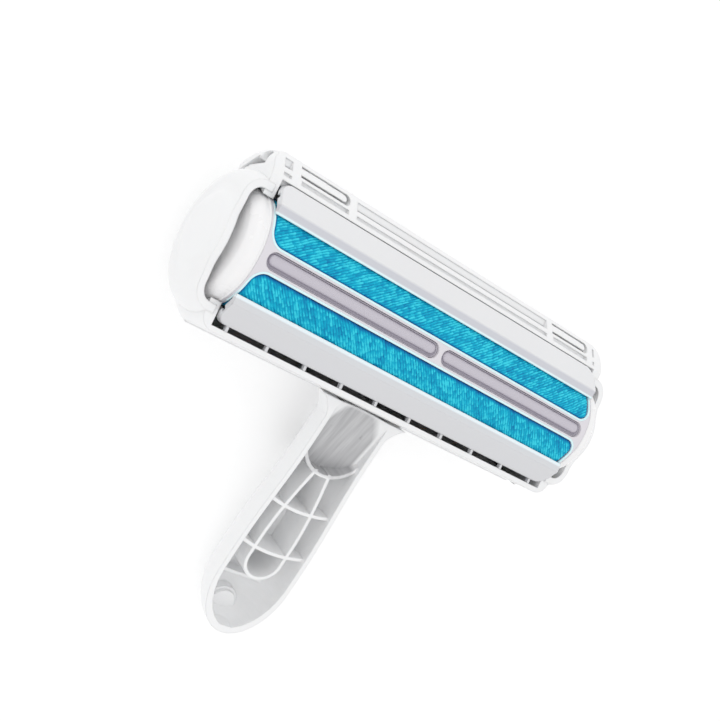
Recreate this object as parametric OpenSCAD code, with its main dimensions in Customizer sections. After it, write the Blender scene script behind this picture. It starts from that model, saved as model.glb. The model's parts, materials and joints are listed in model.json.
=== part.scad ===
// Pet hair removal brush with a swinging drum and a dust chamber behind it.
// Everything is drawn in the head frame: X runs along the drum, Y from the
// handle to the front edge, Z out of the working face, origin on the drum axis.
// The module at_rest lays the finished brush on its back on the plane z = 0.

/* [Head] */
// distance between the outer faces of the two ears, without the pivot bulge
ear_span = 194; // [150:1:240]
// outer radius of the round ears
ear_r = 27; // [24:0.5:32]
// wall of the ears and of the drum bearings
ear_wall = 2.6; // [2:0.1:4]
// rounding of the ear's outer edge
ear_edge_r = 7; // [3:0.5:9]
// how far the pivot bulge stands out of the ear
bulge_rise = 3; // [0:0.5:5]
// height of the ear's free edge over the drum axis
ear_top = 11.8; // [8:0.2:18]
// extra height of the free edge over the pivot
ear_hump = 3; // [1:0.2:4]
// how far the ears stand out of the shells between them
ear_depth = 7; // [6.5:0.1:8]
// outer radius of the rounded back of the head
back_r = 32; // [29:0.5:38]
// wall of the rounded back and of the lid
back_wall_t = 2.2; // [1.6:0.1:3]
// distance from the drum axis to the outside of the back wall
back_y = 30.3; // [28:0.1:34]
// distance from the drum axis to the front edge
front_y = 37.2; // [34:0.1:44]
// rounding of the shell's corners towards the ears
corner_r = 6; // [3:0.5:8]

/* [Lips] */
// distance of the lips' inner edges from the middle
lip_in = 15; // [12:0.5:18]
// where the bevel of the lips meets the sloping face
lip_crease = 18.7; // [17:0.1:22]
// distance of the front lip's outer edge from the middle
lip_out = 26.9; // [25:0.1:29]
// how much shorter the back lip is, for the row of slots
lip_cut = 0.8; // [0:0.1:2]
// how far the lips end before the shells
lip_end = 4.8; // [4:0.1:7]
// how far the last bridge of the back lip stands from its end
bridge_end = 6; // [5:0.5:9]
// thickness of one bridge
bridge_t = 1.2; // [0.8:0.1:2]
// number of bridges
bridge_count = 10; // [6:2:14]

/* [Drum] */
// radius of the swinging drum
drum_r = 22.1; // [18:0.1:26]
// distance from the ear's outer face to the end of the drum, where the end cap starts
drum_gap = 10.2; // [9.4:0.1:11]
// wall of the drum frame
drum_wall = 1.8; // [1.4:0.1:2.4]
// half of the angle that the drum frame covers
drum_sweep = 100; // [90:1:130]
// half width of the middle rib
rib_half = 4.8; // [4:0.1:6]
// angle from the middle at which the windows end under the lips
window_end = 70; // [60:1:80]
// corner radius of the windows at the middle rib
window_corner = 5; // [2:0.5:6]
// how far the windows end before the drum
window_margin = 2.4; // [1.8:0.1:4]
// how far the insert slots end before the drum
slot_margin = 3.7; // [3:0.1:8]
// width of the insert slots
slot_w = 6.5; // [4:0.1:7]
// width of the groove round the insert's bar
insert_groove = 1.8; // [1:0.1:2.4]
// how far the insert's bar stays under the drum's surface
insert_drop = 0.5; // [0.2:0.1:1]
// gap between the two insert slots
slot_gap = 2.2; // [1:0.1:6]
// how far the drum swings to each side
swing = 22; // [15:1:28]
// length of the bearings inside the ears, with the ear's wall
bearing_len = 3.4; // [3:0.1:3.8]
// rounding of the end caps
cap_round = 4; // [3:0.5:4.5]
// radius of the axle stubs
stub_r = 3.5; // [2.5:0.1:5]
// radial play of the stubs in the ears
stub_play = 0.05; // [0.02:0.01:0.1]

/* [Fabric] */
// thickness of the backing under the fabric
backing_t = 1.5; // [1:0.1:2]
// thickness of the fabric with its pile
fabric_t = 1.6; // [1:0.1:2.2]

/* [Lid] */
// angle from the middle of the back to the rear edge of the lid
lid_rear = 46; // [35:1:55]
// radius of the hinge pins
pin_r = 1.5; // [1:0.1:2]
// radial play of the lid knuckles on the pins
pin_play = 0.05; // [0.02:0.01:0.1]
// radius of the rolled front edge of the lid
bead_r = 3; // [2.4:0.1:3.4]
// height of the hinge axis over the drum axis
hinge_z = -0.8; // [-3:0.1:1]
// length of one hinge with its springy tongue
hinge_win = 23; // [16:1:30]
// width of the slit round the springy tongues over the hinges
tongue_gap = 0.8; // [0.4:0.1:1.2]
// how far the hinges start from the ends of the shells
hinge_margin = 12; // [10:1:20]

/* [Handle] */
// slope of the handle's rim against the head
handle_slope = 13.3; // [5:0.5:20]
// length of the handle along its rim
handle_len = 109; // [90:0.5:130]
// half width of the neck
neck_half = 15.4; // [13:0.1:18]
// extra half width of the grip
grip_extra = 2.4; // [0:0.1:5]
// height of the straight part of the side walls
side_h = 4.5; // [2:0.5:8]
// wall of the handle
handle_wall = 2.2; // [1.6:0.1:3]
// fillet between the handle and the head
flare_r = 13; // [6:1:18]
// thickness of the ribs inside the handle
rib_t = 1.5; // [1:0.1:2]
// depth of the ribs' tops under the rim
rib_depth = 2; // [1:0.2:6]
// radius of the scooped floor of the neck
scoop_r = 28; // [24:1:40]
// slope of the scooped floor against the rim
scoop_slope = 13; // [8:0.5:14]
// radius of the round boss near the end
boss_r = 5.8; // [4:0.1:8]

/* [Release button] */
// half width of the button
button_half = 6.8; // [5:0.1:8]
// distance of the button's pivot from the head
button_s = 8.9; // [8:0.1:12]
// depth of the button's pivot under the rim
button_n = 8.9; // [8.8:0.1:9.4]
// radius of the button's axle
axle_r = 1.25; // [0.8:0.05:1.5]
// turning angle of the button
button_turn = 10; // [8:1:11]
// radius of the button spring, to the middle of its wire
spring_r = 3.2; // [2.5:0.1:4]
// wire radius of the button spring
wire_r = 0.35; // [0.25:0.05:0.5]

/* [Pose] */
// tilt that puts both the lid and the handle's end on the table
rest_tilt = 6.95; // [6.9:0.01:7]
// height of the drum axis over the table
rest_z = 31.6; // [31.5:0.05:31.7]

/* [Hidden] */
ear_x = ear_span / 2;
shell_half = ear_x - ear_depth;
lip_half = shell_half - lip_end;
bridge_step = 2 * (lip_half - bridge_end) / (bridge_count - 1);
drum_half = ear_x - drum_gap;
window_half = drum_half - window_margin;
slot_len = drum_half - slot_margin - slot_gap / 2;
cap_dome = drum_gap - bearing_len - 0.4;
hinge_start = [hinge_margin - shell_half, shell_half - hinge_margin + 3 - hinge_win];
ear_flat_r = ear_r - ear_edge_r;
bulge_in = 10;
bulge_run = 4.5;
blend_r = (pow(bulge_run, 2) + pow(bulge_rise / 2, 2)) / bulge_rise;
hump_run = 7.5;
hump_r = (pow(hump_run, 2) + pow(ear_hump / 2, 2)) / ear_hump;
plate_t = 3;
cup_r = ear_r - ear_wall;
drum_in = drum_r - drum_wall;
back_in = back_r - back_wall_t;
hinge_y = front_y - bead_r + 0.2;
core_out = drum_in - backing_t - 0.3;
bore_r = stub_r + stub_play;
stop_r = 15;
stop_turn = swing + asin(3.8 / stop_r);
dome_r = 180;
boss_s = 102;
lip_top = 18.1;
lip_low = 11.8;
rest_y = 50.6;
spring_s = 19;
$fn = 72;

// a soft step from 0 to 1
function soft(t) = t <= 0 ? 0 : t >= 1 ? 1 : t * t * (3 - 2 * t);

// half width of the handle at distance s from the head
function grip_half(s) = (neck_half + grip_extra * soft((s - 22) / 50))
  * (s <= 84 ? 1 : sqrt(max(0, 1 - pow((s - 84) / (handle_len - 84), 2))));
function grip_steps() = concat([for (s = [-9 : 9 : 81]) s],
  [for (a = [0 : 10 : 90]) 84 + (handle_len - 84) * sin(a)]);

// half width of the pair of lengthwise ribs
function rib_bow(s) = 3.4 + 4.6 * sin(min(90, 90 * (s - 31) / 36));

// lays the brush on the plane z = 0, on the lid and the end of the handle
module at_rest() {
  translate([0, rest_y, rest_z]) rotate([-rest_tilt, 0, 0]) children();
}

// cuts a pair of small flat feet on the lid and the handle's end where they touch the table
module over_table() {
  intersection() {
    children();
    translate([-120, -110, 0]) cube([240, 230, 90]);
  }
}

// draws a plan in Y and Z and pulls it along X
module along_x(x0, x1) {
  translate([x0, 0, 0]) rotate([90, 0, 90]) linear_extrude(x1 - x0) children();
}

// a round bar along X
module bar_x(x0, x1, r, y = 0, z = 0) {
  translate([x0, y, z]) rotate([0, 90, 0]) cylinder(h = x1 - x0, r = r);
}

// the handle's own frame: origin on the rim at the head, minus Y along the handle
module at_handle() {
  translate([0, -30, -4]) rotate([handle_slope, 0, 0]) children();
}

// a sector of a ring in the Y Z plan, angles measured from the middle of the working face
module ring_sector(r0, r1, a0, a1) {
  intersection() {
    difference() {
      circle(r1);
      circle(r0);
    }
    polygon(concat([[0, 0]],
      [for (i = [0 : 8]) let (a = a0 + (a1 - a0) * i / 8) 1.3 * r1 * [sin(a), cos(a)]]));
  }
}

// half profile of the ear, radius across and distance along the drum axis,
// with a soft bulge over the pivot made of two tangent arcs, smaller by inset
module ear_profile(inset) {
  y0 = shell_half - plate_t;
  q = blend_r - inset;
  translate([0, y0]) square([ear_flat_r, ear_x - inset - y0]);
  translate([0, y0]) square([ear_r - inset, ear_x - ear_edge_r - y0]);
  intersection() {
    translate([ear_flat_r, ear_x - ear_edge_r]) circle(ear_edge_r - inset);
    translate([0, y0]) square([ear_r, 20]);
  }
  translate([0, y0]) square([bulge_in, ear_x + bulge_rise - inset - y0]);
  intersection() {
    translate([bulge_in, ear_x + bulge_rise - blend_r]) circle(q);
    translate([bulge_in, y0]) square([bulge_run * q / blend_r, 30]);
  }
  difference() {
    translate([bulge_in, y0]) square([2 * bulge_run, ear_x + bulge_rise / 2 - y0]);
    translate([bulge_in + 2 * bulge_run, ear_x + blend_r]) circle(blend_r + inset);
    translate([bulge_in, ear_x - inset]) square([bulge_run * q / blend_r, 30]);
  }
}

// one ear, a cup turned around the drum axis and cut open on the working side,
// with a low hump of the free edge over the pivot
module ear() {
  intersection() {
    rotate([0, 90, 0]) rotate_extrude() difference() {
      ear_profile(0);
      translate([0, -0.01]) ear_profile(ear_wall);
    }
    along_x(shell_half - plate_t, shell_half + 17) ear_outline();
  }
}

// the ear seen along the drum axis: cut off level, with a hump made of one arc
// between two opposite ones that meet it without a corner
module ear_outline() {
  translate([-40, -40]) square([80, 40 + ear_top]);
  intersection() {
    translate([0, ear_top + ear_hump - hump_r]) circle(hump_r);
    translate([-hump_run, 0]) square([2 * hump_run, 40]);
  }
  for (m = [0, 1]) mirror([m, 0]) difference() {
    translate([hump_run, 0]) square([hump_run, ear_top + ear_hump / 2]);
    translate([2 * hump_run, ear_top + hump_r]) circle(hump_r);
  }
}

// bearing and stops inside one ear
module ear_inside() {
  difference() {
    bar_x(ear_x - bearing_len, ear_x + 1, 7);
    bar_x(ear_x - bearing_len - 0.6, ear_x + 0.3, bore_r);
  }
  for (s = [-1, 1]) {
    a = 180 + s * stop_turn;
    bar_x(ear_x - 4.1, ear_x - 1, 2, stop_r * sin(a), stop_r * cos(a));
  }
}

// outer limit of the rounded back, with rounded corners towards the ears
module round_limit() {
  rotate([0, 90, 0]) rotate_extrude() {
    translate([0, -shell_half]) square([back_r - corner_r, 2 * shell_half]);
    translate([0, corner_r - shell_half]) square([back_r, 2 * (shell_half - corner_r)]);
    for (s = [-1, 1]) translate([back_r - corner_r, s * (shell_half - corner_r)]) circle(corner_r);
  }
}

// outer limit of the shells
module shell_limit() {
  round_limit();
  translate([0, 0, -10]) limit_prism(-back_y, front_y + 0.3, 30);
}

// upright block from y0 to y1 with rounded corners
module limit_prism(y0, y1, h) {
  x = shell_half - corner_r;
  linear_extrude(h) {
    translate([-x, y0]) square([2 * x, y1 - y0]);
    translate([-shell_half, y0 + corner_r]) square([2 * shell_half, y1 - y0 - 2 * corner_r]);
    for (s = [-1, 1]) for (y = [y0 + corner_r, y1 - corner_r]) translate([s * x, y]) circle(corner_r);
  }
}

// end plate that joins the ear, the back wall and the front edge
module end_plate() {
  along_x(shell_half - plate_t, shell_half) difference() {
    union() {
      ring_sector(cup_r - 1, back_in - 0.3, 100, 260);
      ring_sector(cup_r - 1, back_r, 180 + lid_rear, 262);
      end_plate_tops();
    }
    circle(drum_r + 0.6);
  }
  along_x(lip_half + 0.2, shell_half - plate_t + 0.2) difference() {
    end_plate_tops();
    circle(drum_r + 0.6);
  }
}

// the parts of the end plate that reach up beside the lips
module end_plate_tops() {
  polygon([[-back_y, 11.2], [-back_y, -9.5], [-18, -9.5], [-18, 11.2]]);
  polygon([[18, 11.4], [lip_out + 0.3, 11.4], [31, 9.3], [35.2, 6.2], [front_y, 4.2], [front_y, 3.2],
           [30.6, 2.6], [29, -7.5], [18, -9.5]]);
}

// back wall with the start of the rounded back
module back_wall() {
  along_x(-shell_half, shell_half) {
    ring_sector(back_in, back_r, 180 + lid_rear, 254);
    translate([-back_y, -10]) square([back_wall_t, 21.2]);
  }
}

// front edge, the roof over the hinge, with its springy tongues and recesses
module front_edge() {
  difference() {
    along_x(-shell_half, shell_half) polygon([[lip_out + 0.3, 11.4], [31, 9.3], [35.2, 6.2], [front_y, 4.2],
      [front_y, 3.2], [35.3, 3.2], [34.9, 3.9], [30.4, 7.1], [29, 7.6], [29, -7.5], [lip_out + 0.3, -8],
      [lip_out + 0.3, 7.2], [25.3, 7.2], [25.3, 9], [lip_out + 0.3, 9]]);
    for (x = hinge_start) {
      linear_extrude(12) difference() {
        tongue_plan(x, 2);
        translate([-1, 0]) tongue_plan(x, 2 - tongue_gap);
      }
      translate([x + 0.6, 28.9, 8.3]) cube([hinge_win - 1, 1.5, 4]);
    }
    front_recess(hinge_start[0] + hinge_win + 3.5, hinge_start[1] - 3.5);
    front_recess(3.5 - shell_half, hinge_start[0] - 4);
    front_recess(hinge_start[1] + hinge_win + 3.5, shell_half - 3);
  }
}

// plan of a springy tongue over a hinge, round at its free end, r is half its width
module tongue_plan(x, r) {
  translate([x, 33.6 - r]) square([hinge_win - 2, 2 * r]);
  translate([x + hinge_win - 2, 33.6]) circle(r);
}

// shallow moulded recess in the front edge
module front_recess(x0, x1) {
  translate([x0, 32, 5.6]) cube([x1 - x0, 3.2, 5]);
  translate([x0, 28.9, 8.8]) cube([x1 - x0, 1.2, 4]);
}

// plates that carry the hinge pins
module hinge_lugs() {
  for (x = hinge_start) for (dx = [-3, hinge_win]) difference() {
    along_x(x + dx, x + dx + 3) {
      translate([hinge_y, hinge_z]) circle(2.7);
      polygon([[hinge_y - 2.7, hinge_z], [hinge_y + 2.6, hinge_z], [35.4, 6], [31, 8.4], [28, 8.4],
        [28, 3]]);
    }
    bar_x(x - 2, x + hinge_win + 2, pin_r, hinge_y, hinge_z);
  }
}

// outer body of the handle in its own frame, thinner by t all round
module grip_body(t) {
  steps = grip_steps();
  side = [for (s = steps) if (s <= handle_len - t)
    [max(0.01, grip_half(s * handle_len / (handle_len - t)) - t), s]];
  translate([0, 0, -side_h]) intersection() {
    rotate([90, 0, 0]) rotate_extrude() polygon(concat([[0, -9]], side, [[0, side[len(side) - 1][1]]]));
    translate([-30, -140, -40]) cube([60, 160, 40]);
  }
  translate([0, 0, -side_h]) linear_extrude(side_h + (t > 0 ? 1 : 0)) polygon(concat(
    [for (p = side) [-p[0], -p[1]]],
    [for (i = [len(side) - 1 : -1 : 0]) [side[i][0], -side[i][1]]]));
}

// plan of the ribs inside the handle
module grip_ribs() {
  intersection() {
    translate([0, -17.6]) difference() {
      circle(15.8);
      circle(15.8 - rib_t);
    }
    translate([-20, -42]) square([40, 25]);
  }
  for (m = [0, 1]) mirror([m, 0]) polygon(concat(
    [for (s = [31 : 4 : 75]) [rib_bow(s) + rib_t / 2, -s]],
    [for (s = [75 : -4 : 31]) [rib_bow(s) - rib_t / 2, -s]]));
  intersection() {
    translate([0, -75]) difference() {
      circle(8 + rib_t / 2);
      circle(8 - rib_t / 2);
    }
    translate([-20, -91]) square([40, 16]);
  }
  for (s = [51.1, 71.6]) intersection() {
    translate([0, -s + 60]) difference() {
      circle(60);
      circle(60 - rib_t);
    }
    translate([-19, -s - 1]) square([38, 9]);
  }
}

// scooped floor of the neck, a thin trough that slopes away from the head down to the round rib
module neck_scoop() {
  intersection() {
    translate([0, 0, -20]) linear_extrude(20) {
      translate([-20, -17.6]) square([40, 20]);
      translate([0, -17.6]) circle(15.4);
    }
    translate([0, 3, scoop_r - 1]) rotate([90 + scoop_slope, 0, 0]) difference() {
      translate([0, 0, -8]) cylinder(h = 60, r = scoop_r + 1.5);
      translate([0, 0, -9]) cylinder(h = 62, r = scoop_r);
    }
  }
}

// handle with ribs, boss and the seat of the release button
module handle() {
  at_handle() {
    difference() {
      grip_body(0);
      grip_body(handle_wall);
      translate([-button_half - 0.5, -28.5, -30]) cube([2 * button_half + 1, 28.5, 15.4]);
    }
    intersection() {
      grip_body(0);
      union() {
        translate([0, 0, -30]) linear_extrude(30 - rib_depth) grip_ribs();
        translate([-20, -89, -30]) cube([40, rib_t, 17]);
        translate([0, -boss_s, -30]) cylinder(h = 18.8, r = boss_r);
        translate([0, -boss_s, -30]) cylinder(h = 17.4, r = boss_r + 1.2);
        neck_scoop();
        translate([0, -spring_s, -10.6]) cylinder(h = 2.7, r = spring_r + 1);
        for (s = [-1, 1]) translate([s * (button_half + 1.5) - 0.9, -13, -30]) cube([1.8, 14, 26]);
      }
    }
    for (m = [0, 1]) mirror([m, 0, 0])
      translate([neck_half - 0.6, -flare_r, -9]) linear_extrude(9) difference() {
        translate([-0.5, 0]) square([flare_r + 0.5, flare_r + 1.5]);
        translate([flare_r, 0]) circle(flare_r);
      }
  }
}

module housing() {
  color("white") over_table() at_rest() {
    for (m = [0, 1]) mirror([m, 0, 0]) {
      ear();
      ear_inside();
    }
    intersection() {
      shell_limit();
      union() {
        end_plate();
        mirror([1, 0, 0]) end_plate();
        front_edge();
      }
    }
    difference() {
      union() {
        intersection() {
          shell_limit();
          back_wall();
        }
        difference() {
          handle();
          difference() {
            bar_x(-shell_half, shell_half, back_r - 0.2);
            translate([-shell_half, -40, -40]) cube([2 * shell_half, 5, 80]);
          }
        }
      }
      translate([-5.2, -34, -25.5]) cube([10.4, 16, 10.5]);
      at_handle() bar_x(-9.4, 9.4, axle_r, -button_s, -button_n);
    }
    hinge_lugs();
  }
}

// plan of one lip with its bevelled inner edge, out is the distance of its outer edge
module lip_plan(out) {
  difference() {
    polygon([[lip_in, lip_top - 0.4], [lip_crease, lip_top], [out - 0.3, lip_low + 0.1],
             [out, lip_low - 0.4], [out, 9.1], [out - 1.5, 9.1], [out - 1.9, 10.1],
             [lip_crease - 1.5, 15.9], [lip_in, 16.2]]);
    circle(drum_r + 0.45);
    wiper_plan();
  }
}

// plan of the rubber blade under a lip
module wiper_plan() {
  translate([21.3, 13.5]) rotate(-38) translate([-0.8, -2.7]) square([1.6, 3.6]);
}

// end corners of the lips are rounded
module lip_body(out) {
  r = out - 21.9;
  intersection() {
    along_x(-lip_half, lip_half) lip_plan(out);
    union() {
      translate([-lip_half + r, 0, 0]) cube([2 * (lip_half - r), 40, 30]);
      translate([-lip_half, 0, 0]) cube([2 * lip_half, 21.9, 30]);
      for (s = [-1, 1]) translate([s * (lip_half - r), 21.9, 0]) cylinder(h = 30, r = r);
    }
  }
}

module front_lip() {
  color("white") at_rest() lip_body(lip_out);
}

module back_lip() {
  color("white") at_rest() {
    mirror([0, 1, 0]) lip_body(lip_out - lip_cut);
    for (i = [0 : bridge_count - 1]) let (x = (i - (bridge_count - 1) / 2) * bridge_step)
      translate([x - bridge_t / 2, -back_y + back_wall_t, 9.2])
        cube([bridge_t, back_y - back_wall_t - lip_out + lip_cut + 0.4, 1.8]);
  }
}

module front_wiper() {
  color("dimgray") at_rest() along_x(-lip_half + 5, lip_half - 5) wiper_plan();
}

module back_wiper() {
  color("dimgray") at_rest() mirror([0, 1, 0]) along_x(-lip_half + 5, lip_half - 5) wiper_plan();
}

// upright prism through one fabric window, made smaller by inset
module window_prism(inset) {
  y0 = rib_half + inset;
  y1 = drum_r * sin(window_end) - inset;
  x1 = window_half - inset;
  c = window_corner - inset;
  linear_extrude(drum_r + 2) {
    translate([-x1, y0 + c]) square([2 * x1, y1 - y0 - c]);
    translate([-x1 + c, y0]) square([2 * x1 - 2 * c, y1 - y0]);
    for (s = [-1, 1]) translate([s * (x1 - c), y0 + c]) circle(c);
  }
}

// upright prism of one insert slot, made smaller by inset
module slot_prism(inset) {
  r = slot_w / 2 - inset;
  x0 = slot_gap / 2 + slot_w / 2;
  translate([0, 0, drum_in - 3]) linear_extrude(8) {
    translate([x0, -r]) square([slot_len - slot_w, 2 * r]);
    translate([x0, 0]) circle(r);
    translate([x0 + slot_len - slot_w, 0]) circle(r);
  }
}

module drum_frame() {
  color("white") at_rest() difference() {
    along_x(-drum_half + 0.8, drum_half - 0.8) ring_sector(drum_in, drum_r, -drum_sweep, drum_sweep);
    for (m = [0, 1]) {
      mirror([0, m, 0]) window_prism(0);
      mirror([m, 0, 0]) slot_prism(0);
    }
  }
}

module drum_core() {
  color("gainsboro") at_rest() along_x(-drum_half + 2.45, drum_half - 2.45) {
    ring_sector(core_out - 1.5, core_out, -95, 95);
    ring_sector(core_out - 0.1, drum_in - 0.05, -12, 12);
    ring_sector(core_out - 0.1, drum_in - 0.05, 76, 94);
    ring_sector(core_out - 0.1, drum_in - 0.05, -94, -76);
  }
}

// end cap, flat domed with a round edge that meets the dome without a corner,
// with its axle stub, stop pin and socket ring
module drum_cap() {
  rc = drum_r - 0.4 - cap_round;
  drop = sqrt(pow(dome_r - cap_round, 2) - pow(rc, 2));
  xc = drum_half + cap_dome + drop - dome_r;
  rotate([0, 90, 0]) rotate_extrude() {
    polygon([[0, drum_half - 2.4], [drum_in - 0.05, drum_half - 2.4], [drum_in - 0.05, drum_half - 0.75],
             [drum_r, drum_half - 0.75], [drum_r, drum_half - 0.4], [drum_r - 0.4, drum_half],
             [0, drum_half]]);
    translate([0, drum_half - 0.2]) square([drum_r - 0.4, xc - drum_half + 0.2]);
    intersection() {
      translate([rc, xc]) circle(cap_round);
      translate([0, drum_half - 0.2]) square([drum_r, cap_dome + 3]);
    }
    intersection() {
      translate([0, xc - drop]) circle(dome_r);
      translate([0, xc - 0.2]) square([rc * dome_r / (dome_r - cap_round), cap_round + 3]);
    }
    translate([0, drum_half]) square([stub_r, ear_x - 0.1 - drum_half]);
    translate([core_out - 3.2, drum_half - 6]) square([1.6, 4]);
  }
  bar_x(drum_half, ear_x - 3, 1.5, 0, -stop_r);
}

module drum_cap_left() {
  color("white") at_rest() mirror([1, 0, 0]) drum_cap();
}

module drum_cap_right() {
  color("white") at_rest() drum_cap();
}

module backing() {
  along_x(-drum_half + 2.5, drum_half - 2.5) ring_sector(core_out + 0.02, drum_in - 0.08, 12.6, 75.4);
}

module front_backing() {
  color("silver") at_rest() backing();
}

module back_backing() {
  color("silver") at_rest() mirror([0, 1, 0]) backing();
}

module fabric() {
  intersection() {
    along_x(-drum_half + 2.5, drum_half - 2.5) ring_sector(drum_in - 0.06, drum_in - 0.06 + fabric_t, 5, 80);
    window_prism(0.15);
  }
}

module front_fabric() {
  color("deepskyblue") at_rest() fabric();
}

module back_fabric() {
  color("deepskyblue") at_rest() mirror([0, 1, 0]) fabric();
}

// soft insert: a thin plate with a raised round-ended bar along its middle
module rib_insert() {
  insert_layer(0.15, drum_in + 0.5);
  insert_layer(insert_groove, drum_r - insert_drop);
}

// the insert's outline, smaller by inset, up to the radius r
module insert_layer(inset, r) {
  intersection() {
    slot_prism(inset);
    difference() {
      bar_x(0, drum_half, r);
      bar_x(-1, drum_half + 1, drum_in);
    }
  }
}

module rib_insert_left() {
  color("lavender") at_rest() mirror([1, 0, 0]) rib_insert();
}

module rib_insert_right() {
  color("lavender") at_rest() rib_insert();
}

// the lid's shell from the rolled front edge round to its rear edge
module lid_shell() {
  intersection() {
    round_limit();
    along_x(-shell_half - 1, shell_half + 1)
      ring_sector(back_in + 0.2, back_r + 1, 117, 180 + lid_rear - 0.6);
  }
  intersection() {
    translate([0, 0, -20]) limit_prism(20, front_y + 0.3, 30);
    union() {
      along_x(-shell_half - 1, shell_half + 1) polygon([[28.6, -14.5], [front_y - 0.4, hinge_z - 2],
        [hinge_y - 0.6, hinge_z - 2], [26.5, -13.9]]);
      bar_x(-shell_half - 1, shell_half + 1, bead_r, hinge_y, hinge_z);
    }
  }
}

module lid() {
  color("white") over_table() at_rest() {
    difference() {
      lid_shell();
      bar_x(-shell_half - 1, shell_half + 1, pin_r + pin_play, hinge_y, hinge_z);
      for (x = hinge_start) {
        for (dx = [-3, hinge_win]) translate([x + dx - 0.4, hinge_y - 3.6, hinge_z - 3]) cube([3.8, 8, 7]);
        translate([x + 6, hinge_y - 3.6, hinge_z - 2.2]) cube([hinge_win - 12, 8, 7]);
      }
      for (m = [0, 1]) mirror([m, 0, 0])
        translate([shell_half - 2.4, hinge_y - 8, hinge_z - 1.4]) cube([3, 12, 7]);
    }
    translate([-4, -21.4, -23.2]) cube([8, 1.5, 6.7]);
    translate([-4, -22.9, -17.7]) cube([8, 2, 1.2]);
    for (i = [-2 : 2]) let (x = i * shell_half / 3)
      along_x(x - 0.6, x + 0.6) ring_sector(back_in - 1.2, back_in + 0.3, 120, 205);
  }
}

// hinge pin along X
module hinge_pin(x) {
  bar_x(x - 2, x + hinge_win + 2, pin_r, hinge_y, hinge_z);
}

module hinge_pin_left() {
  color("whitesmoke") at_rest() hinge_pin(hinge_start[0]);
}

module hinge_pin_right() {
  color("whitesmoke") at_rest() hinge_pin(hinge_start[1]);
}

// rocker with the push pad outside the neck and the latch hook inside it
module release_button() {
  color("white") at_rest() at_handle() difference() {
    union() {
      translate([-button_half, -24.4, -21.6]) cube([2 * button_half, 21.8, 2.6]);
      translate([-button_half, -button_s - 2.4, -19.2]) cube([2 * button_half, 4.8, 19.2 - button_n]);
      bar_x(-button_half, button_half, 2.4, -button_s, -button_n);
      translate([-4.6, -button_s, -17.3]) cube([9.2, button_s + 4.3, 2]);
    }
    bar_x(-button_half - 1, button_half + 1, axle_r + 0.05, -button_s, -button_n);
  }
}

module button_axle() {
  color("silver") at_rest() at_handle() bar_x(-9.2, 9.2, axle_r, -button_s, -button_n);
}

// point j of the ring i on the spring's wire, eight rings to a turn and six points to a ring
function coil_point(i, j) = let (a = 45 * i, r = spring_r + wire_r * cos(60 * j))
  [r * cos(a), r * sin(a), 0.35 + i * 7.6 / 40 + wire_r * sin(60 * j)];

module button_spring() {
  color("silver") at_rest() at_handle() translate([0, -spring_s, -18.95]) polyhedron(
    points = [for (i = [0 : 40]) for (j = [0 : 5]) coil_point(i, j)],
    faces = concat([[for (j = [0 : 5]) j]], [[for (j = [5 : -1 : 0]) 240 + j]],
      [for (i = [0 : 39]) for (j = [0 : 5]) let (k = (j + 1) % 6) [6 * i + k, 6 * i + j, 6 * i + 6 + j]],
      [for (i = [0 : 39]) for (j = [0 : 5]) let (k = (j + 1) % 6)
        [6 * i + k, 6 * i + 6 + j, 6 * i + 6 + k]]));
}

housing();
front_lip();
back_lip();
front_wiper();
back_wiper();
drum_frame();
drum_core();
drum_cap_left();
drum_cap_right();
front_backing();
back_backing();
front_fabric();
back_fabric();
rib_insert_left();
rib_insert_right();
lid();
hinge_pin_left();
hinge_pin_right();
release_button();
button_axle();
button_spring();
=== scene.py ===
import json
import math

import bpy
import numpy as np
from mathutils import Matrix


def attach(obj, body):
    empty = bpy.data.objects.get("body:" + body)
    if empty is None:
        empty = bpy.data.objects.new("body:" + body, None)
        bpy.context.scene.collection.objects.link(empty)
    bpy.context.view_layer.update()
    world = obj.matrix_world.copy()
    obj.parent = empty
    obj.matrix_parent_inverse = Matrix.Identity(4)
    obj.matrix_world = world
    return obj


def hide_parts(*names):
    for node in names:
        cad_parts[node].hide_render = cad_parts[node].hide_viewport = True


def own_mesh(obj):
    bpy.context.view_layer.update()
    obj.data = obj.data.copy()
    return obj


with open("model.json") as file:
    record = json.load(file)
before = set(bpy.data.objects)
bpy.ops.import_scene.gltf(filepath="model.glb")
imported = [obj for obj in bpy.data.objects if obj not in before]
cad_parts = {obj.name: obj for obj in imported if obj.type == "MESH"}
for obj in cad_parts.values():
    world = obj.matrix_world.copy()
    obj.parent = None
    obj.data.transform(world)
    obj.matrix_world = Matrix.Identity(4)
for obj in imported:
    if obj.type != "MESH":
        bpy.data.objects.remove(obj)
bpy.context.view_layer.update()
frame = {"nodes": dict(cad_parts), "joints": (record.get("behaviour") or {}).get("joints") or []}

# The brush as it lies on its back.
# Its sizes are known in the head's own frame, in millimetres: X along the drum, Y from the handle to
# the front edge, Z out of the working face, origin on the drum's axis. That frame is tilted at rest.
REST_TILT = math.radians(6.95)
joint_places = {joint["name"]: joint["pos_m"] for joint in frame["joints"]}
drum_axis_place = np.array(joint_places["drum_swing"])
head_axes = np.array([
    [1, 0, 0],
    [0, math.cos(REST_TILT), -math.sin(REST_TILT)],
    [0, math.sin(REST_TILT), math.cos(REST_TILT)],
])


def head_turn(directions):
    """Directions in the head's frame, turned to the frame in which the brush lies on the table."""
    return np.asarray(directions, float) @ head_axes


def head_place(points_mm):
    """Points in the head's frame, in mm, turned and then moved to the drum's axis at rest, in metres."""
    return head_turn(points_mm) * 0.001 + drum_axis_place


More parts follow.
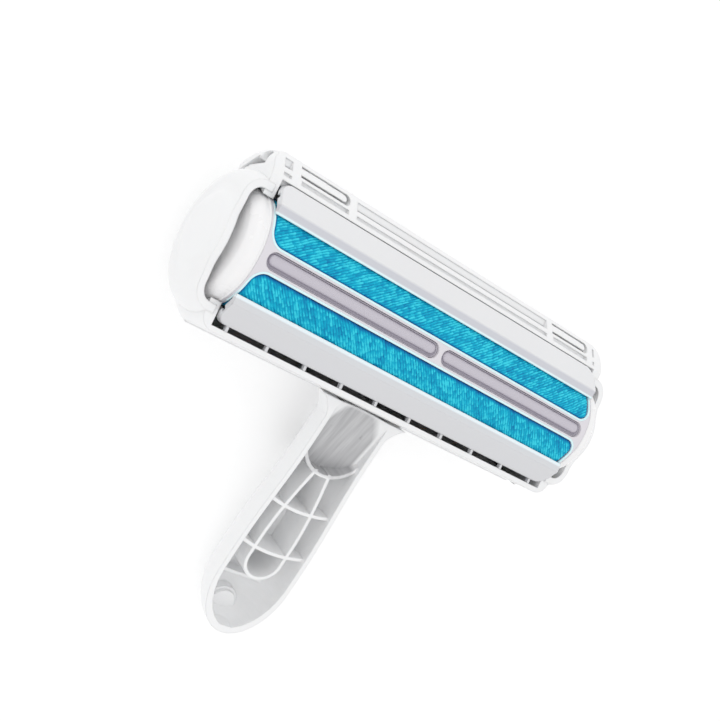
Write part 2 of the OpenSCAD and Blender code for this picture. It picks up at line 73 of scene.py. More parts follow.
# The view: the head fills the frame from corner to corner and the handle comes towards the viewer.
# The directions are those of the picture's right side, its lower side and its depth in the head's frame.
CAMERA_PLACE = (-271.6, -37.7, 374.6)
PICTURE_RIGHT = (0.7319, 0.4340, 0.5253)
PICTURE_DOWN = (0.3848, -0.8995, 0.2069)
PICTURE_DEPTH = (0.5623, 0.0508, -0.8254)
PICTURE_WIDTH_PX = 720
FOCAL_PX = 1193.3
SENSOR_WIDTH = 36
NEAREST_SEEN = 0.01


def standing(place, right, up, back):
    """A matrix with an object's own three axes and then its place as columns, as Blender takes it."""
    matrix = np.eye(4)
    matrix[:3] = np.stack([right, up, back, place], -1)
    return matrix.T.tolist()


camera_data = bpy.data.cameras.new("camera")
camera_data.sensor_fit = "HORIZONTAL"
camera_data.sensor_width = SENSOR_WIDTH
camera_data.lens = FOCAL_PX / PICTURE_WIDTH_PX * SENSOR_WIDTH
camera_data.clip_start = NEAREST_SEEN
camera = bpy.data.objects.new("camera", camera_data)
bpy.context.scene.collection.objects.link(camera)
camera.matrix_world = standing(head_place(CAMERA_PLACE), head_turn(PICTURE_RIGHT),
                               -head_turn(PICTURE_DOWN), -head_turn(PICTURE_DEPTH))
bpy.context.scene.camera = camera

# The studio: a white light table in a tent that is soft grey at the sides, brighter overhead and
# white in the cove where it meets the table, with one large softbox on the front left and a weak one
# on the handle's side. Heights in the tent go from 0 at the horizon to 1 straight overhead.
TENT_AT_SIDES = 0.66
TENT_OVERHEAD = 1.05
TENT_FADE_FROM = 0.1
TENT_FADE_TO = 0.9
COVE_LIGHT = 1.0
COVE_TOP = 0.16

# Each softbox: its name, its place in the head's frame and its side in mm, and its power in watts.
SOFTBOXES = (
    ("key_light", (-330, 800, 560), 620, 0.9),
    ("fill_light", (-220, -640, 380), 600, 0.35),
)


def linear(hex_colour):
    """An sRGB hex colour as linear red, green, blue and alpha."""
    parts = [int(hex_colour[i:i + 2], 16) / 255 for i in (0, 2, 4)]
    return [c / 12.92 if c <= 0.04045 else ((c + 0.055) / 1.055) ** 2.4 for c in parts] + [1]


def new_material(name):
    """A material with an empty node tree."""
    material = bpy.data.materials.new(name)
    material.use_nodes = True
    material.node_tree.nodes.clear()
    return material


def add(material, kind, values=None, **settings):
    """Adds a node to a material or the world, sets its properties, then sets each named socket or links
    it to another node's output."""
    node = material.node_tree.nodes.new("ShaderNode" + kind)
    for key, value in settings.items():
        setattr(node, key, value)
    for key, value in (values or {}).items():
        if isinstance(value, bpy.types.NodeSocket):
            material.node_tree.links.new(value, node.inputs[key])
        else:
            node.inputs[key].default_value = value
    return node


world = bpy.data.worlds.new("studio")
world.use_nodes = True
world.node_tree.nodes.clear()
tent_way = add(world, "SeparateXYZ", {"Vector": add(world, "TexCoord").outputs["Generated"]})
tent = add(world, "MapRange", {
    "Value": tent_way.outputs["Z"], "From Min": TENT_FADE_FROM, "From Max": TENT_FADE_TO,
    "To Min": TENT_AT_SIDES, "To Max": TENT_OVERHEAD})
cove = add(world, "MapRange", {
    "Value": tent_way.outputs["Z"], "From Min": 0.0, "From Max": COVE_TOP,
    "To Min": COVE_LIGHT, "To Max": TENT_AT_SIDES})
brighter = add(world, "Math", {0: tent.outputs["Result"], 1: cove.outputs["Result"]},
               operation="MAXIMUM")
tent_light = add(world, "Background", {"Color": (1.0, 1.0, 1.0, 1), "Strength": brighter.outputs[0]})
add(world, "OutputWorld", {"Surface": tent_light.outputs[0]})
bpy.context.scene.world = world
bpy.context.scene.view_settings.view_transform = "Standard"


def softbox(name, place_mm, size_mm, power):
    """A square area light at a place in the head's frame that faces the drum's axis: it shines
    against the direction from the axis to it, and its lower edge is level."""
    data = bpy.data.lights.new(name, "AREA")
    data.size = size_mm * 0.001
    data.energy = power
    lamp = bpy.data.objects.new(name, data)
    bpy.context.scene.collection.objects.link(lamp)
    place = head_place(place_mm)
    away = (place - drum_axis_place) / np.linalg.norm(place - drum_axis_place)
    level = np.cross((0, 0, 1), away)
    level /= np.linalg.norm(level)
    lamp.matrix_world = standing(place, level, np.cross(away, level), away)


for name, place_mm, size_mm, power in SOFTBOXES:
    softbox(name, place_mm, size_mm, power)


def mesh_piece(name, points, faces, material):
    """A smooth mesh object at the origin from points in metres and faces as lists of point numbers."""
    mesh = bpy.data.meshes.new(name)
    mesh.from_pydata(points.tolist(), [], faces)
    mesh.polygons.foreach_set("use_smooth", [True] * len(mesh.polygons))
    mesh.materials.append(material)
    mesh.update()
    piece = bpy.data.objects.new(name, mesh)
    bpy.context.scene.collection.objects.link(piece)
    return piece


def grid_faces(rows, columns, first=0):
    """Quads of a grid of rows by columns of points, numbered row by row from first."""
    i, j = np.meshgrid(np.arange(rows - 1), np.arange(columns - 1), indexing="ij")
    a = first + i * columns + j
    return np.stack([a, a + 1, a + columns + 1, a + columns], -1).reshape(-1, 4).tolist()


# Light table: a seamless matt white sheet, lit a little from below so that no hard shadow forms. It
# gives the eye a plain pale ground with only soft shade under the brush.
FLOOR_HALF = 5.0
FLOOR_POINTS = 5

sweep = new_material("matt_white_light_table")
sweep_shader = add(sweep, "BsdfPrincipled", {
    "Base Color": linear("DDDDDD"), "Roughness": 0.9,
    "Emission Color": (1.0, 1.0, 1.0, 1), "Emission Strength": 0.33})
add(sweep, "OutputMaterial", {"Surface": sweep_shader.outputs[0]})
floor_line = np.linspace(-FLOOR_HALF, FLOOR_HALF, FLOOR_POINTS)
floor_x, floor_y = np.meshgrid(floor_line, floor_line)
floor_points = np.stack([floor_x, floor_y, np.zeros_like(floor_x)], -1).reshape(-1, 3)
mesh_piece("paper_floor", floor_points, grid_faces(FLOOR_POINTS, FLOOR_POINTS), sweep)


# Housing, lid and hinge pins: the head's moulded shell with its round ears and the hollow handle.
# Injection moulded ABS in clean white, polished in the tool to a soft gloss, with rounded edges.
ABS_IOR = 1.53
WARMER = (0.985, 0.975, 0.97)
DRIFT_MM = 45
SMEAR_MM = 12
SMEAR_LESS = 0.05
SMEAR_MORE = 0.07


def moulded_plastic(name, colour, roughness, edge_mm, grain_mm=0.6, grain_depth_mm=0.004):
    """White ABS or the like: the colour drifts a little to a warmer one across the piece, handling
    leaves the gloss uneven, a fine grain dulls it and every edge is rounded by its radius. The noise
    scales are the repeats per metre of a size in mm."""
    material = new_material(name)
    place = add(material, "TexCoord").outputs["Object"]
    drift = add(material, "TexNoise", {"Vector": place, "Scale": 1000 / DRIFT_MM, "Detail": 2})
    warmer = [c * f for c, f in zip(linear(colour)[:3], WARMER)] + [1]
    tint = add(material, "Mix", {"Factor": drift.outputs["Fac"], "A": linear(colour), "B": warmer},
               data_type="RGBA")
    smear = add(material, "TexNoise", {
        "Vector": place, "Scale": 1000 / SMEAR_MM, "Detail": 4, "Roughness": 0.6})
    gloss = add(material, "MapRange", {
        "Value": smear.outputs["Fac"], "To Min": roughness - SMEAR_LESS, "To Max": roughness + SMEAR_MORE})
    grain = add(material, "TexNoise", {"Vector": place, "Scale": 1000 / grain_mm, "Detail": 2})
    rounding = add(material, "Bevel", {"Radius": edge_mm * 0.001}, samples=6)
    bump = add(material, "Bump", {
        "Height": grain.outputs["Fac"], "Distance": grain_depth_mm * 0.001, "Strength": 0.35,
        "Normal": rounding.outputs["Normal"]})
    shader = add(material, "BsdfPrincipled", {
        "Base Color": tint.outputs["Result"], "Roughness": gloss.outputs["Result"],
        "Normal": bump.outputs["Normal"], "IOR": ABS_IOR, "Subsurface Weight": 0.06,
        "Subsurface Radius": (1.0, 0.9, 0.8), "Subsurface Scale": 0.001})
    add(material, "OutputMaterial", {"Surface": shader.outputs[0]})
    return material


def dress(material, *nodes):
    """Puts a material on CAD nodes in place of the plain one."""
    for node in nodes:
        mesh = frame["nodes"][node].data
        mesh.materials.clear()
        mesh.materials.append(material)


shell_white = moulded_plastic("moulded_abs_soft_gloss_painted_scoop_shade", "F4F5F6", roughness=0.34, edge_mm=0.7)
dress(shell_white, "housing", "lid", "hinge_pin_left", "hinge_pin_right")

# Scooped floor of the neck, where the thumb rests: in one with the housing, and tinted grey below the
# polished rim as painted shade for the depth of the pocket, in faint lines along the grip. Its place is
# known in the grip's frame: across, along from the head, and out of the rim, in mm. That frame starts
# at the neck, at this Y and Z of the head's frame, and slopes down from it.
GRIP_START = (-30, -4)
GRIP_SLOPE = math.radians(13.3)
grip_axes = np.array([
    [1, 0, 0],
    [0, -math.cos(GRIP_SLOPE), -math.sin(GRIP_SLOPE)],
    [0, -math.sin(GRIP_SLOPE), math.cos(GRIP_SLOPE)],
])

# The painted shade's four edges: where it begins to show and where it shows in full.
SCOOP_SIDES = (12.6, 11.6)
SCOOP_RIM = (-1.3, -2.5)
SCOOP_HEAD_END = (1, 3)
SCOOP_GRIP_END = (33, 32)

# The lines' width and length, the part of their noise that is used, and the share of painted shade between
# them.
LINE_MM = (2.2, 26)
LINE_NOISE = (0.35, 0.65)
LINE_GAP_SHADE_SHARE = 0.7


def from_grip(points):
    """Points across, along and out of the grip, in mm, turned by its slope and moved to its start, so
    that they are in the head's frame."""
    return points @ grip_axes + (0, *GRIP_START)


def distance_along(material, start, way):
    """How far a place on the piece lies from a start along a way, in mm: the dot product of the step
    from the start and the way, which is one long."""
    place = add(material, "TexCoord").outputs["Object"]
    from_start = add(material, "VectorMath", {0: place, 1: tuple(start)}, operation="SUBTRACT")
    along = add(material, "VectorMath", {0: from_start.outputs["Vector"], 1: tuple(way * 1000)},
                operation="DOT_PRODUCT")
    return along.outputs["Value"]


def tint_where(material, share, hex_colour):
    """Lays another colour over a plastic's own one, by a share that goes from 0 to 1 over the piece."""
    shader = next(node for node in material.node_tree.nodes if node.type == "BSDF_PRINCIPLED")
    own_colour = shader.inputs["Base Color"].links[0].from_socket
    tint = add(material, "Mix", {"Factor": share, "A": own_colour, "B": linear(hex_colour)},
               data_type="RGBA")
    material.node_tree.links.new(tint.outputs["Result"], shader.inputs["Base Color"])


def stretched_noise(material, place, grain_mm, detail):
    """Noise whose grains have one size along X and another along Y: the place over those sizes."""
    scale = (1 / grain_mm[0], 1 / grain_mm[1], 1)
    stretched = add(material, "Mapping", {"Vector": place, "Scale": scale})
    noise = add(material, "TexNoise", {"Vector": stretched.outputs[0], "Scale": 1.0, "Detail": detail})
    return noise.outputs["Fac"]


def scoop_painted_shade(material, hex_colour):
    """Paints shade on the scoop as a grey laid over it by a share. Inside is the product of the ramps at
    its edges, over the place in the grip's frame, and the lines are a noise that is stretched along the
    grip and lessens the painted shade between them."""
    across, along, out = (distance_along(material, head_place(from_grip(np.zeros(3))), way)
                          for way in head_turn(grip_axes))
    sideways = add(material, "Math", {0: across}, operation="ABSOLUTE").outputs[0]
    inside = 1.0
    for distance, (begins, full) in ((sideways, SCOOP_SIDES), (out, SCOOP_RIM),
                                     (along, SCOOP_HEAD_END), (along, SCOOP_GRIP_END)):
        edge = add(material, "MapRange", {"Value": distance, "From Min": begins, "From Max": full})
        inside = add(material, "Math", {0: inside, 1: edge.outputs["Result"]},
                     operation="MULTIPLY").outputs[0]
    line_place = add(material, "CombineXYZ", {"X": across, "Y": along})
    lines = stretched_noise(material, line_place.outputs[0], LINE_MM, detail=2)
    lined = add(material, "MapRange", {
        "Value": lines, "From Min": LINE_NOISE[0], "From Max": LINE_NOISE[1],
        "To Min": LINE_GAP_SHADE_SHARE, "To Max": 1.0})
    share = add(material, "Math", {0: inside, 1: lined.outputs["Result"]}, operation="MULTIPLY")
    tint_where(material, share.outputs[0], hex_colour)


# Painted shade: the scoop's floor is greyed towards B4B4B6, in faint lines along the grip.
scoop_painted_shade(shell_white, "B4B4B6")


# Lips and rocker: the two sloping strips along the drum, and the release rocker under the neck. They
# are moulded apart from the housing, of the same ABS, with a little more gloss and sharper edges. The
# lips' colours are greyer than the housing's as painted shade, the back lip's most, as it faces away from
# the key light. The front lip's bevel has a band of painted shade, and both lips have a painted highlight
# with a painted reflection of the pile's blue along the edge over the pile.
def painted_light_strip(material, hex_colour, first_mm, last_mm, soft_mm):
    """Lays a colour over the strip of a piece whose place across the head, in mm along the head's Y axis,
    lies
    between two values, with soft edges: the rise at the first times the fall at the last. A darker colour
    is painted shade, a lighter one a painted highlight."""
    across = distance_along(material, drum_axis_place, head_axes[1])
    rise = add(material, "MapRange", {
        "Value": across, "From Min": first_mm - soft_mm, "From Max": first_mm + soft_mm})
    fall = add(material, "MapRange", {
        "Value": across, "From Min": last_mm + soft_mm, "From Max": last_mm - soft_mm})
    inside = add(material, "Math", {0: rise.outputs["Result"], 1: fall.outputs["Result"]},
                 operation="MULTIPLY")
    tint_where(material, inside.outputs[0], hex_colour)


# Painted shade: the front lip's colour is greyer than the housing's.
front_lip_with_painted_light = moulded_plastic("moulded_abs_front_lip_painted_light", "E8E9EB", roughness=0.30, edge_mm=0.5)
# Painted shade: a greyer band on the front lip's bevel.
painted_light_strip(front_lip_with_painted_light, "D0D0D6", first_mm=15.9, last_mm=18.4, soft_mm=0.4)
# Painted highlight along the front lip's edge over the pile, with a painted reflection of its blue.
painted_light_strip(front_lip_with_painted_light, "E8FCFF", first_mm=14.2, last_mm=15.7, soft_mm=0.2)
dress(front_lip_with_painted_light, "front_lip")
# Painted shade: the back lip's colour is greyer still, as it faces away from the key light.
back_lip_with_painted_light = moulded_plastic("moulded_abs_back_lip_painted_light", "DADBDE", roughness=0.30, edge_mm=0.5)
# Painted highlight along the back lip's edge over the pile, with a painted reflection of its blue.
painted_light_strip(back_lip_with_painted_light, "EEF8FC", first_mm=-16.3, last_mm=-14.2, soft_mm=0.3)
dress(back_lip_with_painted_light, "back_lip")
rocker_white = moulded_plastic("moulded_abs_button", "DCDDE0", roughness=0.30, edge_mm=0.5)
dress(rocker_white, "release_button")

# Drum frame and end caps: the swinging half drum that carries the fabric, clipped between two domed
# plates. ABS from a polished tool; the frame's colour, a little greyer than the white caps, is painted
# shade for the weaker light on the drum's top.
# Painted shade: the frame's white is greyed a little to E0DDE3.
frame_with_painted_shade = moulded_plastic("moulded_abs_frame_painted_shade", "E0DDE3", roughness=0.24, edge_mm=0.45)
dress(frame_with_painted_shade, "drum_frame")
cap_white = moulded_plastic("moulded_abs_polished", "F6F6F7", roughness=0.26, edge_mm=0.4)
dress(cap_white, "drum_cap_left", "drum_cap_right")

# Drum core and the boards behind the fabric: plain grey polystyrene, matt from the tool, hidden
# under the frame and seen only from the open dust chamber.
core_grey = moulded_plastic("moulded_polystyrene_grey", "BFC1C4", roughness=0.5, edge_mm=0.3)
dress(core_grey, "drum_core", "front_backing", "back_backing")

# Inserts in the middle rib: two long strips of soft plastic with round ends, pressed into their slots.
# Each is a thin plate with a groove all round and a raised bar with a rounded back. Pale lavender,
# satin, with painted shade in the groove's depth. INSERT_FIRST and INSERT_LAST are where its round ends
# have their centres along the head.
INSERT_FIRST = 4.35
INSERT_LAST = 79.85
INSERT_HALF_WIDTH = 3.1
INSERT_UNDER_R = 20.35
INSERT_PLATE_R = 21.1
INSERT_GROOVE_R = 20.5
INSERT_BAR_R = 21.85
PLATE_ROUNDING = 0.12
FLANGE_WIDTH = 0.3
GROOVE_WIDTH = 0.7
BAR_WALL = 0.2
BAR_WALL_LEAN = 0.03
BAR_SHIFT = 0.42
BAR_RINGS = 9
MIDDLE_LINE_HALF = 0.02
ROUND_END_POINTS = 21

# How much of the groove's depth a place needs before it takes painted shade, and for the full painted
# shade.
GROOVE_SHADE_FROM = 0.45
GROOVE_SHADE_FULL = 0.95


def ring_faces(rings, count):
    """Quads between rings of so many points, each ring joined to the next one, and a flat face that
    closes the first ring and the last."""
    ring, point = np.meshgrid(np.arange(rings - 1), np.arange(count), indexing="ij")
    here, beside = ring * count + point, ring * count + (point + 1) % count
    quads = np.stack([here, beside, beside + count, here + count], -1).reshape(-1, 4).tolist()
    last_ring = (rings - 1) * count
    return quads + [list(range(count))[::-1], list(range(last_ring, last_ring + count))]


def turned_over(faces):
    """The faces with their points in the other order, for a piece mirrored to the other side."""
    return [face[::-1] for face in faces]


def keep_values(piece, key, values):
    """Keeps one number for each of a piece's points, for its material to read."""
    kept = piece.data.attributes.new(key, "FLOAT", "POINT")
    kept.data.foreach_set("value", values.astype(np.float32))


def insert_strip(name, side, material):
    """An obround outline, repeated smaller and smaller. The rings' distance from the outline and their
    radius on the drum follow a profile: underside, wall, narrow flange, groove, then a bar whose height
    is a quarter ellipse over the rest of the width. The bar lies a little towards the front, so the
    groove is wider behind it. The last ring closes on the middle line."""
    middle = INSERT_HALF_WIDTH - MIDDLE_LINE_HALF
    foot = FLANGE_WIDTH + GROOVE_WIDTH
    wall_top = foot + BAR_WALL_LEAN
    wall_top_r = INSERT_GROOVE_R + BAR_WALL
    bar = np.linspace(0, 1, BAR_RINGS)
    inset = np.concatenate([
        [middle, 0, 0, PLATE_ROUNDING, FLANGE_WIDTH, FLANGE_WIDTH + PLATE_ROUNDING, foot],
        wall_top + (middle - wall_top) * bar])
    height = np.concatenate([
        [INSERT_UNDER_R, INSERT_UNDER_R, INSERT_PLATE_R - PLATE_ROUNDING, INSERT_PLATE_R, INSERT_PLATE_R,
         INSERT_GROOVE_R, INSERT_GROOVE_R],
        wall_top_r + (INSERT_BAR_R - wall_top_r) * np.sqrt(1 - (1 - bar) ** 2)])
    is_bar = (inset >= foot) & (height > INSERT_UNDER_R)
    shift = np.where(is_bar, BAR_SHIFT, 0)
    turn = np.linspace(0, math.pi, ROUND_END_POINTS)
    outline_x = np.concatenate([np.sin(turn), -np.sin(turn)])
    outline_y = np.concatenate([np.cos(turn), -np.cos(turn)])
    centre = np.repeat([INSERT_LAST, INSERT_FIRST], ROUND_END_POINTS)
    half = (INSERT_HALF_WIDTH - inset)[:, None]
    x = side * (centre + half * outline_x)
    y = shift[:, None] + half * outline_y
    z = np.sqrt(height[:, None] ** 2 - y ** 2)
    faces = ring_faces(len(inset), len(centre))
    if side > 0:
        faces = turned_over(faces)
    strip = mesh_piece(name, head_place(np.stack([x, y, z], -1).reshape(-1, 3)), faces, material)
    depth = (INSERT_BAR_R - height) / (INSERT_BAR_R - INSERT_GROOVE_R)
    keep_values(strip, "groove", np.repeat(depth, len(centre)))
    return strip


insert_lavender = moulded_plastic("soft_plastic_lavender_painted_groove_shade", "C6C2CC", roughness=0.36, edge_mm=0.1)
groove = add(insert_lavender, "Attribute", attribute_name="groove").outputs["Fac"]
groove_shade_share = add(insert_lavender, "MapRange", {
    "Value": groove, "From Min": GROOVE_SHADE_FROM, "From Max": GROOVE_SHADE_FULL})
# Painted shade: the groove's deep parts are tinted darker, to A5A0AC.
tint_where(insert_lavender, groove_shade_share.outputs["Result"], "A5A0AC")
for name, side, node in (("left_insert_strip", -1, "rib_insert_left"),
                         ("right_insert_strip", 1, "rib_insert_right")):
    strip = insert_strip(name, side, insert_lavender)
    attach(strip, "drum")
    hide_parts(node)

# Wiper blades under the lips: strips of soft grey rubber, matt and a little rough from the mould.
# They are pushed into grooves and comb the hair off the pile when the drum swings.
blade_rubber = moulded_plastic("cast_rubber_matt", "85888D", roughness=0.6, edge_mm=0.2,
                               grain_mm=0.3, grain_depth_mm=0.01)
dress(blade_rubber, "front_wiper", "back_wiper")

# Axle and spring of the release rocker: drawn spring steel, bright, with fine lines from the die. The
# axle passes through the neck's side walls. The coil stands between the rocker and a boss under the
# scooped floor, at these places along and out of the grip.
STEEL_LINE_MM = 0.4
STEEL_SMOOTHEST = 0.22
STEEL_ROUGHEST = 0.42
SPRING_ALONG = 19
SPRING_FOOT = -18.95
SPRING_TOP = -10.65
SPRING_R = 3.2
SPRING_WIRE = 0.35
WIRE_SIDES = 8
SPRING_TURNS = 5
SPRING_TURN_POINTS = 24

spring_steel = new_material("drawn_spring_steel")
steel_place = add(spring_steel, "TexCoord").outputs["Object"]
steel_lines = add(spring_steel, "TexNoise", {
    "Vector": steel_place, "Scale": 1000 / STEEL_LINE_MM, "Detail": 3})
steel_gloss = add(spring_steel, "MapRange", {
    "Value": steel_lines.outputs["Fac"], "To Min": STEEL_SMOOTHEST, "To Max": STEEL_ROUGHEST})
steel_shader = add(spring_steel, "BsdfPrincipled", {
    "Base Color": linear("C6C8CB"), "Metallic": 1.0, "Roughness": steel_gloss.outputs["Result"]})
add(spring_steel, "OutputMaterial", {"Surface": steel_shader.outputs[0]})
dress(spring_steel, "button_axle")


def tube(name, path, radius, material):
    """A round tube along a path in the head's frame: at every point a circle across the path, in the
    plane of the direction away from the drum's axis and the direction square to it and the path."""
    ahead = np.concatenate([path[1:2] - path[:1], path[2:] - path[:-2], path[-1:] - path[-2:-1]])
    ahead /= np.linalg.norm(ahead, axis=1, keepdims=True)
    up = path * (0, 1, 1)
    up -= ahead * (up * ahead).sum(1, keepdims=True)
    up /= np.linalg.norm(up, axis=1, keepdims=True)
    across = np.cross(ahead, up)
    turn = np.linspace(0, 2 * math.pi, WIRE_SIDES, endpoint=False)[None, :, None]
    rings = path[:, None] + radius * (np.cos(turn) * up[:, None] + np.sin(turn) * across[:, None])
    return mesh_piece(name, head_place(rings.reshape(-1, 3)), ring_faces(len(path), WIRE_SIDES), material)


def coil_spring(name, material):
    """A helix in the grip's frame: a circle across the spring's axis that rises evenly with the turn."""
    turn = np.linspace(0, 2 * math.pi * SPRING_TURNS, SPRING_TURN_POINTS * SPRING_TURNS + 1)
    rise = SPRING_FOOT + SPRING_WIRE + (SPRING_TOP - SPRING_FOOT - 2 * SPRING_WIRE) * turn / turn[-1]
    path = np.stack([SPRING_R * np.cos(turn), SPRING_ALONG + SPRING_R * np.sin(turn), rise], -1)
    return tube(name, from_grip(path), SPRING_WIRE, material)


rocker_spring = coil_spring("rocker_spring", spring_steel)
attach(rocker_spring, "base")
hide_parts("button_spring")
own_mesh(rocker_spring)

# Fabric strips: short directional pile in bright blue, woven in slanting rows of small tufts that all
# lean one way, so it grips hair on the push and lets go on the pull. Glued on boards behind the windows.
# Sizes are in mm, every radius is from the drum's axis, and WINDOW_END is where a window ends round it.
DRUM_R = 22.1
RIB_HALF = 4.8
WINDOW_HALF = 84.4
WINDOW_CORNER = 5.0
WINDOW_END = math.radians(70)
FABRIC_INSET = 0.15
FABRIC_UNDER_R = 20.24
PILE_EDGE_R = 21.0
PILE_TOP_R = 21.85
CROWN_WIDTH = 1.6
GRID_STEP = 0.25
UNDER_ROWS = 9

# The rows: their pitch, how far they and single tufts stray, and over what lengths. The tufts: their
# length and height, their foot as a share of the height, the power of their rise, their steep end as
# a share of the length, the least size, and the relief that is left at the strip's edge.
TUFT_PITCH = 1.0
ROW_STRAY = 0.6
ROW_STRAY_OVER = (9, 4)
TUFT_STRAY = 0.12
TUFT_STRAY_OVER = 1.3
TUFT_LENGTH = 3.6
TUFT_HEIGHT = 0.42
TUFT_FOOT = 0.62
TUFT_RISE = 0.8
TUFT_END = 0.14
TUFT_LEAST = 0.6
EDGE_RELIEF = 0.25

# The fabric's own slight waves, their depth and lengths, and how wide the painted shade along its edges
# is.
WAVE_DEPTH = 0.12
WAVE_OVER = (7, 5)
EDGE_SHADE_WIDTH = 0.9
FRONT_EDGE_SHADE_WIDTH = 1.7

# Each strip: its name, its side of the rib, its rows' slant, its scatter's seed and what it replaces.
PILE_STRIPS = (
    ("front_pile", 1, math.radians(36), 3, "front_fabric"),
    ("back_pile", -1, math.radians(46), 8, "back_fabric"),
)

# The scatter's usual numbers: any that are large and don't fit each other would do.
SCATTER_WEIGHTS = (12.9898, 78.233, 37.719)
SCATTER_SIZE = 43758.5453


def hashed(*whole):
    """A fixed scatter value from 0 to 1 for whole numbers: the fraction of a large sine of their
    weighted sum."""
    mixed = sum(n * k for n, k in zip(whole, SCATTER_WEIGHTS))
    return np.mod(np.sin(mixed) * SCATTER_SIZE, 1)


def smooth_noise(u, v, seed):
    """Value noise: scatter values at whole numbers, blended between them by a soft step."""
    u0, v0 = np.floor(u), np.floor(v)
    fu, fv = u - u0, v - v0
    fu, fv = fu * fu * (3 - 2 * fu), fv * fv * (3 - 2 * fv)
    low = hashed(u0, v0, seed) * (1 - fu) + hashed(u0 + 1, v0, seed) * fu
    high = hashed(u0, v0 + 1, seed) * (1 - fu) + hashed(u0 + 1, v0 + 1, seed) * fu
    return low * (1 - fv) + high * fv


def pile_relief(x, arc, row_angle, seed):
    """Height of the pile from 0 to 1: slanting rows with a round section, each cut into tufts that
    rise slowly and end steeply, with rows that wander and tufts that differ a little. Also gives the
    places along and across the rows."""
    along = x * math.cos(row_angle) + arc * math.sin(row_angle)
    across = arc * math.cos(row_angle) - x * math.sin(row_angle)
    row_stray = smooth_noise(along / ROW_STRAY_OVER[0], across / ROW_STRAY_OVER[1], seed)
    tuft_stray = smooth_noise(x / TUFT_STRAY_OVER, arc / TUFT_STRAY_OVER, seed + 1)
    across = across + ROW_STRAY * row_stray + TUFT_STRAY * tuft_stray
    row = np.floor(across / TUFT_PITCH)
    section = np.sqrt(np.clip(1 - (2 * (across / TUFT_PITCH - row) - 1) ** 2, 0, 1))
    step = along / TUFT_LENGTH + hashed(row, seed)
    tuft = np.floor(step)
    rise = step - tuft
    lean = rise ** TUFT_RISE * np.clip((1 - rise) / TUFT_END, 0, 1)
    size = TUFT_LEAST + (1 - TUFT_LEAST) * hashed(row, tuft, seed)
    return section * (TUFT_FOOT + (1 - TUFT_FOOT) * lean) * size, along, across


def shell_faces(rows, under_rows, columns):
    """Faces of a closed strip: a grid on top, a grid of as many columns under it, a row of quads
    along both long edges, and one flat face at each end."""
    first_under = rows * columns
    last, last_under = first_under - columns, first_under + (under_rows - 1) * columns
    under = np.array(grid_faces(under_rows, columns, first_under))[:, ::-1].tolist()
    i = np.arange(columns - 1)
    inner = np.stack([i, first_under + i, first_under + i + 1, i + 1], -1).tolist()
    outer = np.stack([last + i, last + i + 1, last_under + i + 1, last_under + i], -1).tolist()
    left = list(range(0, first_under, columns)) + list(range(last_under, first_under - 1, -columns))
    right = [point + columns - 1 for point in left]
    return grid_faces(rows, columns) + under + inner + outer + [left, right[::-1]]


def pile_strip(name, side, row_angle, seed, material):
    """A strip of pile on the drum: arc by length is a grid whose inner edge follows the window's
    rounded corners. Its radius is a crown that drops at the edges, plus the relief of the tufts. The
    underside is a plain arc, and two flat ends close it. Its points keep the tufts' height, the painted
    shade at the edges, how far out they lie, and the place along and across the rows."""
    half = WINDOW_HALF - FABRIC_INSET
    corner = WINDOW_CORNER - FABRIC_INSET
    inner_y = RIB_HALF + FABRIC_INSET
    columns = int(2 * half / GRID_STEP)
    x = np.linspace(-half, half, columns)
    past = np.clip(np.abs(x) - (half - corner), 0, corner)
    start = np.arcsin((inner_y + corner - np.sqrt(corner ** 2 - past ** 2)) / DRUM_R)
    end = math.asin((DRUM_R * math.sin(WINDOW_END) - FABRIC_INSET) / DRUM_R)
    rows = int(DRUM_R * (end - math.asin(inner_y / DRUM_R)) / GRID_STEP)

    def round_drum(count):
        outward = np.linspace(0, 1, count)[:, None]
        return outward, start * (1 - outward) + end * outward

    def on_drum(radius, angle):
        places = (np.broadcast_to(x, angle.shape), side * radius * np.sin(angle), radius * np.cos(angle))
        return np.stack(places, -1).reshape(-1, 3)

    outward, angle = round_drum(rows)
    arc = DRUM_R * angle
    height, along, across = pile_relief(x, arc, row_angle, seed)
    to_edge = np.minimum.reduce([arc - DRUM_R * start, DRUM_R * end - arc,
                                 np.broadcast_to(half - np.abs(x), arc.shape)])
    crown = np.clip(to_edge / CROWN_WIDTH, 0, 1)
    crown = np.sqrt(1 - (1 - crown) ** 2)
    wave = WAVE_DEPTH * (smooth_noise(x / WAVE_OVER[0], arc / WAVE_OVER[1], seed + 2) - 0.5)
    relief = (TUFT_HEIGHT * height + wave) * (EDGE_RELIEF + (1 - EDGE_RELIEF) * crown)
    top = on_drum(PILE_EDGE_R + (PILE_TOP_R - PILE_EDGE_R) * crown + relief, angle)
    under = on_drum(FABRIC_UNDER_R, round_drum(UNDER_ROWS)[1])
    faces = shell_faces(rows, UNDER_ROWS, columns)
    if side < 0:
        faces = turned_over(faces)
    piece = mesh_piece(name, head_place(np.concatenate([top, under])), faces, material)

    # Painted shade along the strip's edges, widest along the edge that faces the front.
    to_front = DRUM_R * end - arc if side > 0 else arc - DRUM_R * start
    edge_shade = np.clip(np.minimum(to_edge / EDGE_SHADE_WIDTH, to_front / FRONT_EDGE_SHADE_WIDTH), 0, 1)
    for key, values in (("tip", height), ("edge_shade", edge_shade), ("outward", outward)):
        values = np.broadcast_to(values, arc.shape).ravel()
        keep_values(piece, key, np.concatenate([values, np.zeros(len(under))]))
    nap = np.concatenate([np.stack([along, across], -1).reshape(-1, 2), np.zeros((len(under), 2))])
    corners = np.empty(len(piece.data.loops), np.int32)
    piece.data.loops.foreach_get("vertex_index", corners)
    nap_layer = piece.data.uv_layers.new(name="nap_mm")
    nap_layer.data.foreach_set("uv", nap[corners].astype(np.float32).ravel())
    return piece


